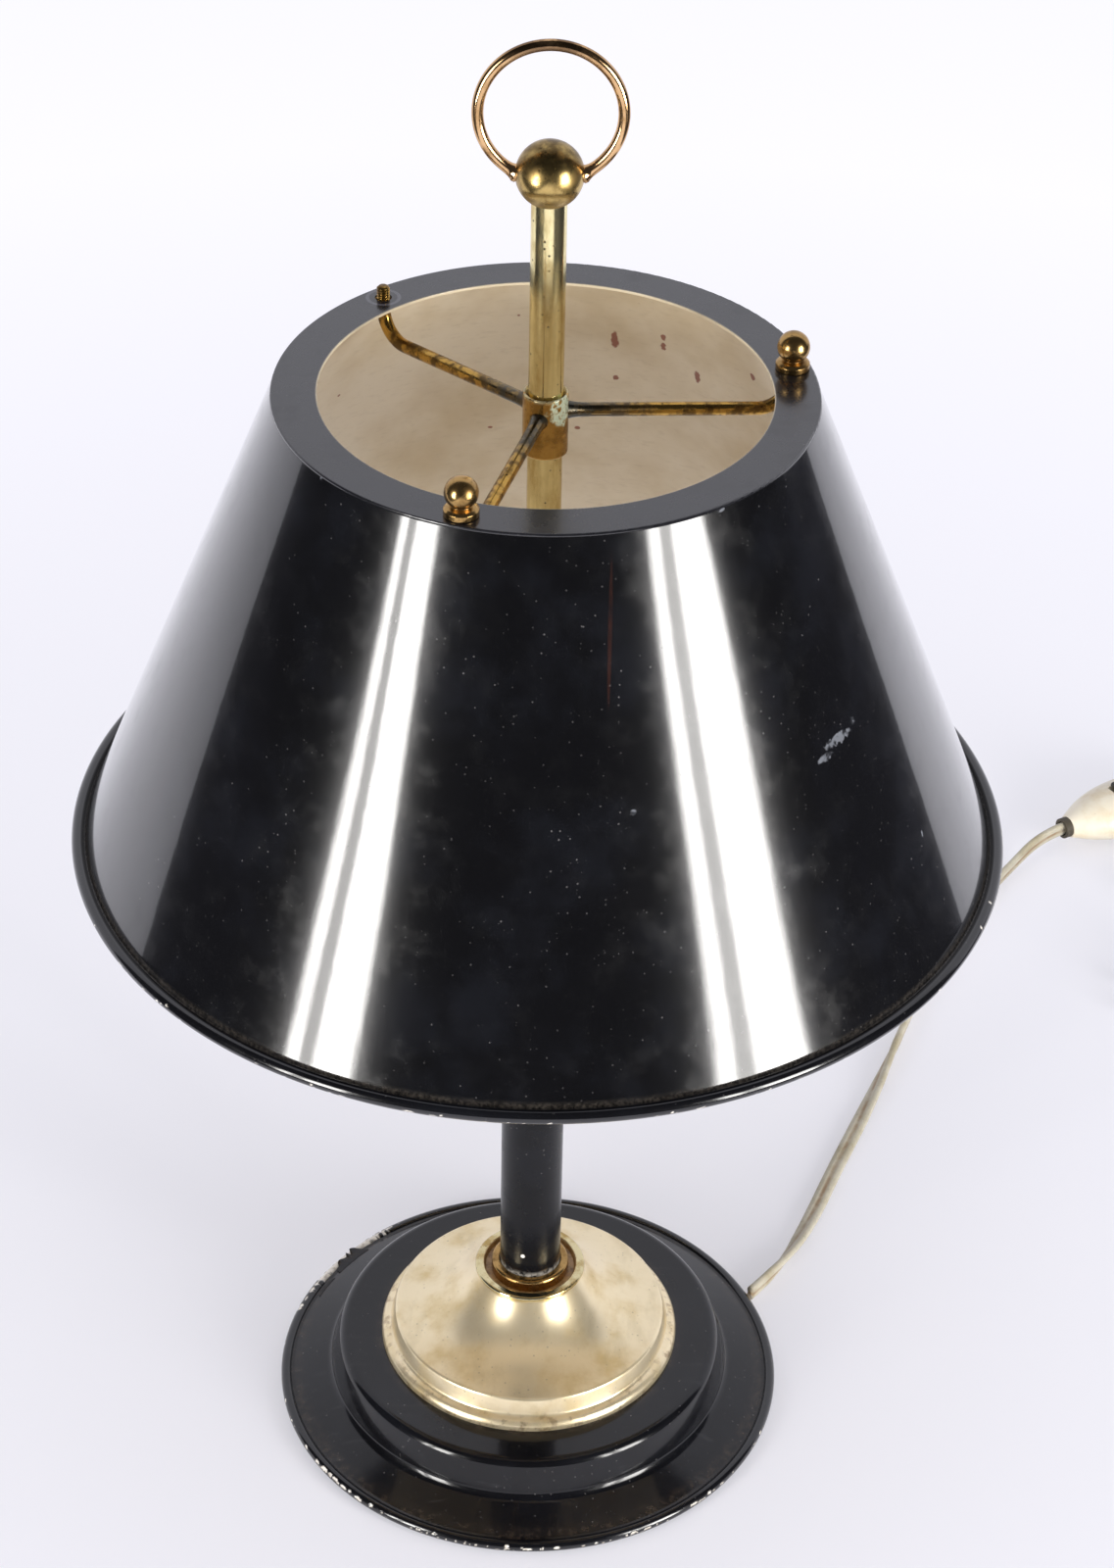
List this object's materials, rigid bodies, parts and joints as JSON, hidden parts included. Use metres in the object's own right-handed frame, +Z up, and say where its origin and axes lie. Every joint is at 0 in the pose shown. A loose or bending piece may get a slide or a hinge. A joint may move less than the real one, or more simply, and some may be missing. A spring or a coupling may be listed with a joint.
{
  "type": "bouillotte lamp",
  "caption": "Table lamp with a stepped black base and brass dish, a black column, a conical metal shade clamped on a brass rod by a spider, a ring handle, and a corded switch.",
  "frame": {"origin": "on the table, under the centre of the base", "axes": "+Z up along the rod; the camera side of the picture is -Y and the cord leaves towards +X +Y"},
  "size_m": [0.4856, 0.4957, 0.4878],
  "materials": {
    "black_enamel_base": "gloss enamel, worn at the rim",
    "black_enamel_column": "satin enamel",
    "black_enamel_shade": "gloss enamel outside, cream matt inside",
    "black_enamel_ring": "satin enamel, dusty",
    "polished_brass": "polished, pale",
    "aged_brass": "tarnished",
    "rod_brass": "bright, pitted",
    "spider_brass": "dark tarnish",
    "cast_iron": "rough",
    "zinc_steel": "zinc plated",
    "felt": "wool felt",
    "bakelite": "moulded",
    "steatite": "unglazed",
    "socket_brass": "stamped",
    "cord_pvc": "soft, yellowed",
    "wire_pvc": "soft",
    "switch_plastic": "moulded, yellowed",
    "rocker_plastic": "moulded",
    "gland_rubber": "moulded",
    "tie_pvc": "soft",
    "plug_plastic": "moulded, yellowed",
    "nickel_pins": "nickel plated"
  },
  "bodies": {
    "lamp_stand": {"base_pan": "black_enamel_base", "base_weight": "cast_iron", "base_felt": "felt", "threaded_tube": "zinc_steel", "base_nut": "zinc_steel", "base_washer": "zinc_steel", "brass_dish": "polished_brass", "neck_cup": "polished_brass", "column_foot_ring": "aged_brass", "column_tube": "black_enamel_column", "cluster_hub": "socket_brass", "cluster_cap": "socket_brass", "socket_arm_1": "socket_brass", "socket_arm_2": "socket_brass", "inner_cord": "cord_pvc", "holder_wires": "wire_pvc", "center_rod": "rod_brass", "handle_ball": "aged_brass", "ring_handle": "aged_brass", "switch_upper_shell": "switch_plastic", "switch_lower_shell": "switch_plastic", "switch_pin": "zinc_steel", "switch_screws": "zinc_steel", "switch_glands": "gland_rubber", "cord_lead": "cord_pvc", "cord_tail": "cord_pvc", "cord_coil": "cord_pvc", "cord_end": "cord_pvc", "cord_tie": "tie_pvc", "plug_body": "plug_plastic", "plug_pins": "nickel_pins", "holder_cap_1": "bakelite", "holder_shell_1": "bakelite", "holder_core_1": "steatite", "holder_screw_1": "socket_brass", "holder_contact_1": "socket_brass", "holder_cap_2": "bakelite", "holder_shell_2": "bakelite", "holder_core_2": "steatite", "holder_screw_2": "socket_brass", "holder_contact_2": "socket_brass"},
    "shade": {"shade_cone": "black_enamel_shade", "shade_rim_wire": "black_enamel_shade", "shade_top_ring": "black_enamel_ring", "spider_collar": "aged_brass", "spider_arm_1": "spider_brass", "spider_arm_2": "spider_brass", "spider_arm_3": "spider_brass", "stud_seat_nuts": "aged_brass"},
    "nut_front": {"ball_nut_front": "aged_brass"},
    "nut_right": {"ball_nut_right": "aged_brass"},
    "clamp_screw": {"collar_screw": "aged_brass"},
    "rocker": {"switch_rocker": "rocker_plastic"}
  },
  "joints": [
    {"name": "shade_height", "type": "slide", "parent": "lamp_stand", "child": "shade", "axis": [0, 0, 1], "range_m": [-0.025, 0.054]},
    {"name": "nut_front_turn", "type": "hinge", "parent": "shade", "child": "nut_front", "pos_m": [-0.02186, -0.06808, 0.385], "axis": [0, 0, 1], "continuous": true},
    {"name": "nut_right_turn", "type": "hinge", "parent": "shade", "child": "nut_right", "pos_m": [0.06989, 0.01511, 0.385], "axis": [0, 0, 1], "continuous": true},
    {"name": "clamp_screw_turn", "type": "hinge", "parent": "shade", "child": "clamp_screw", "pos_m": [0, 0.007, 0.368], "axis": [0, 1, 0], "continuous": true},
    {"name": "rocker_tilt", "type": "hinge", "parent": "lamp_stand", "child": "rocker", "pos_m": [0.24558, 0.3245, 0.0155], "axis": [-0.5, 0.866, 0], "range_deg": [-18, 0]}
  ]
}
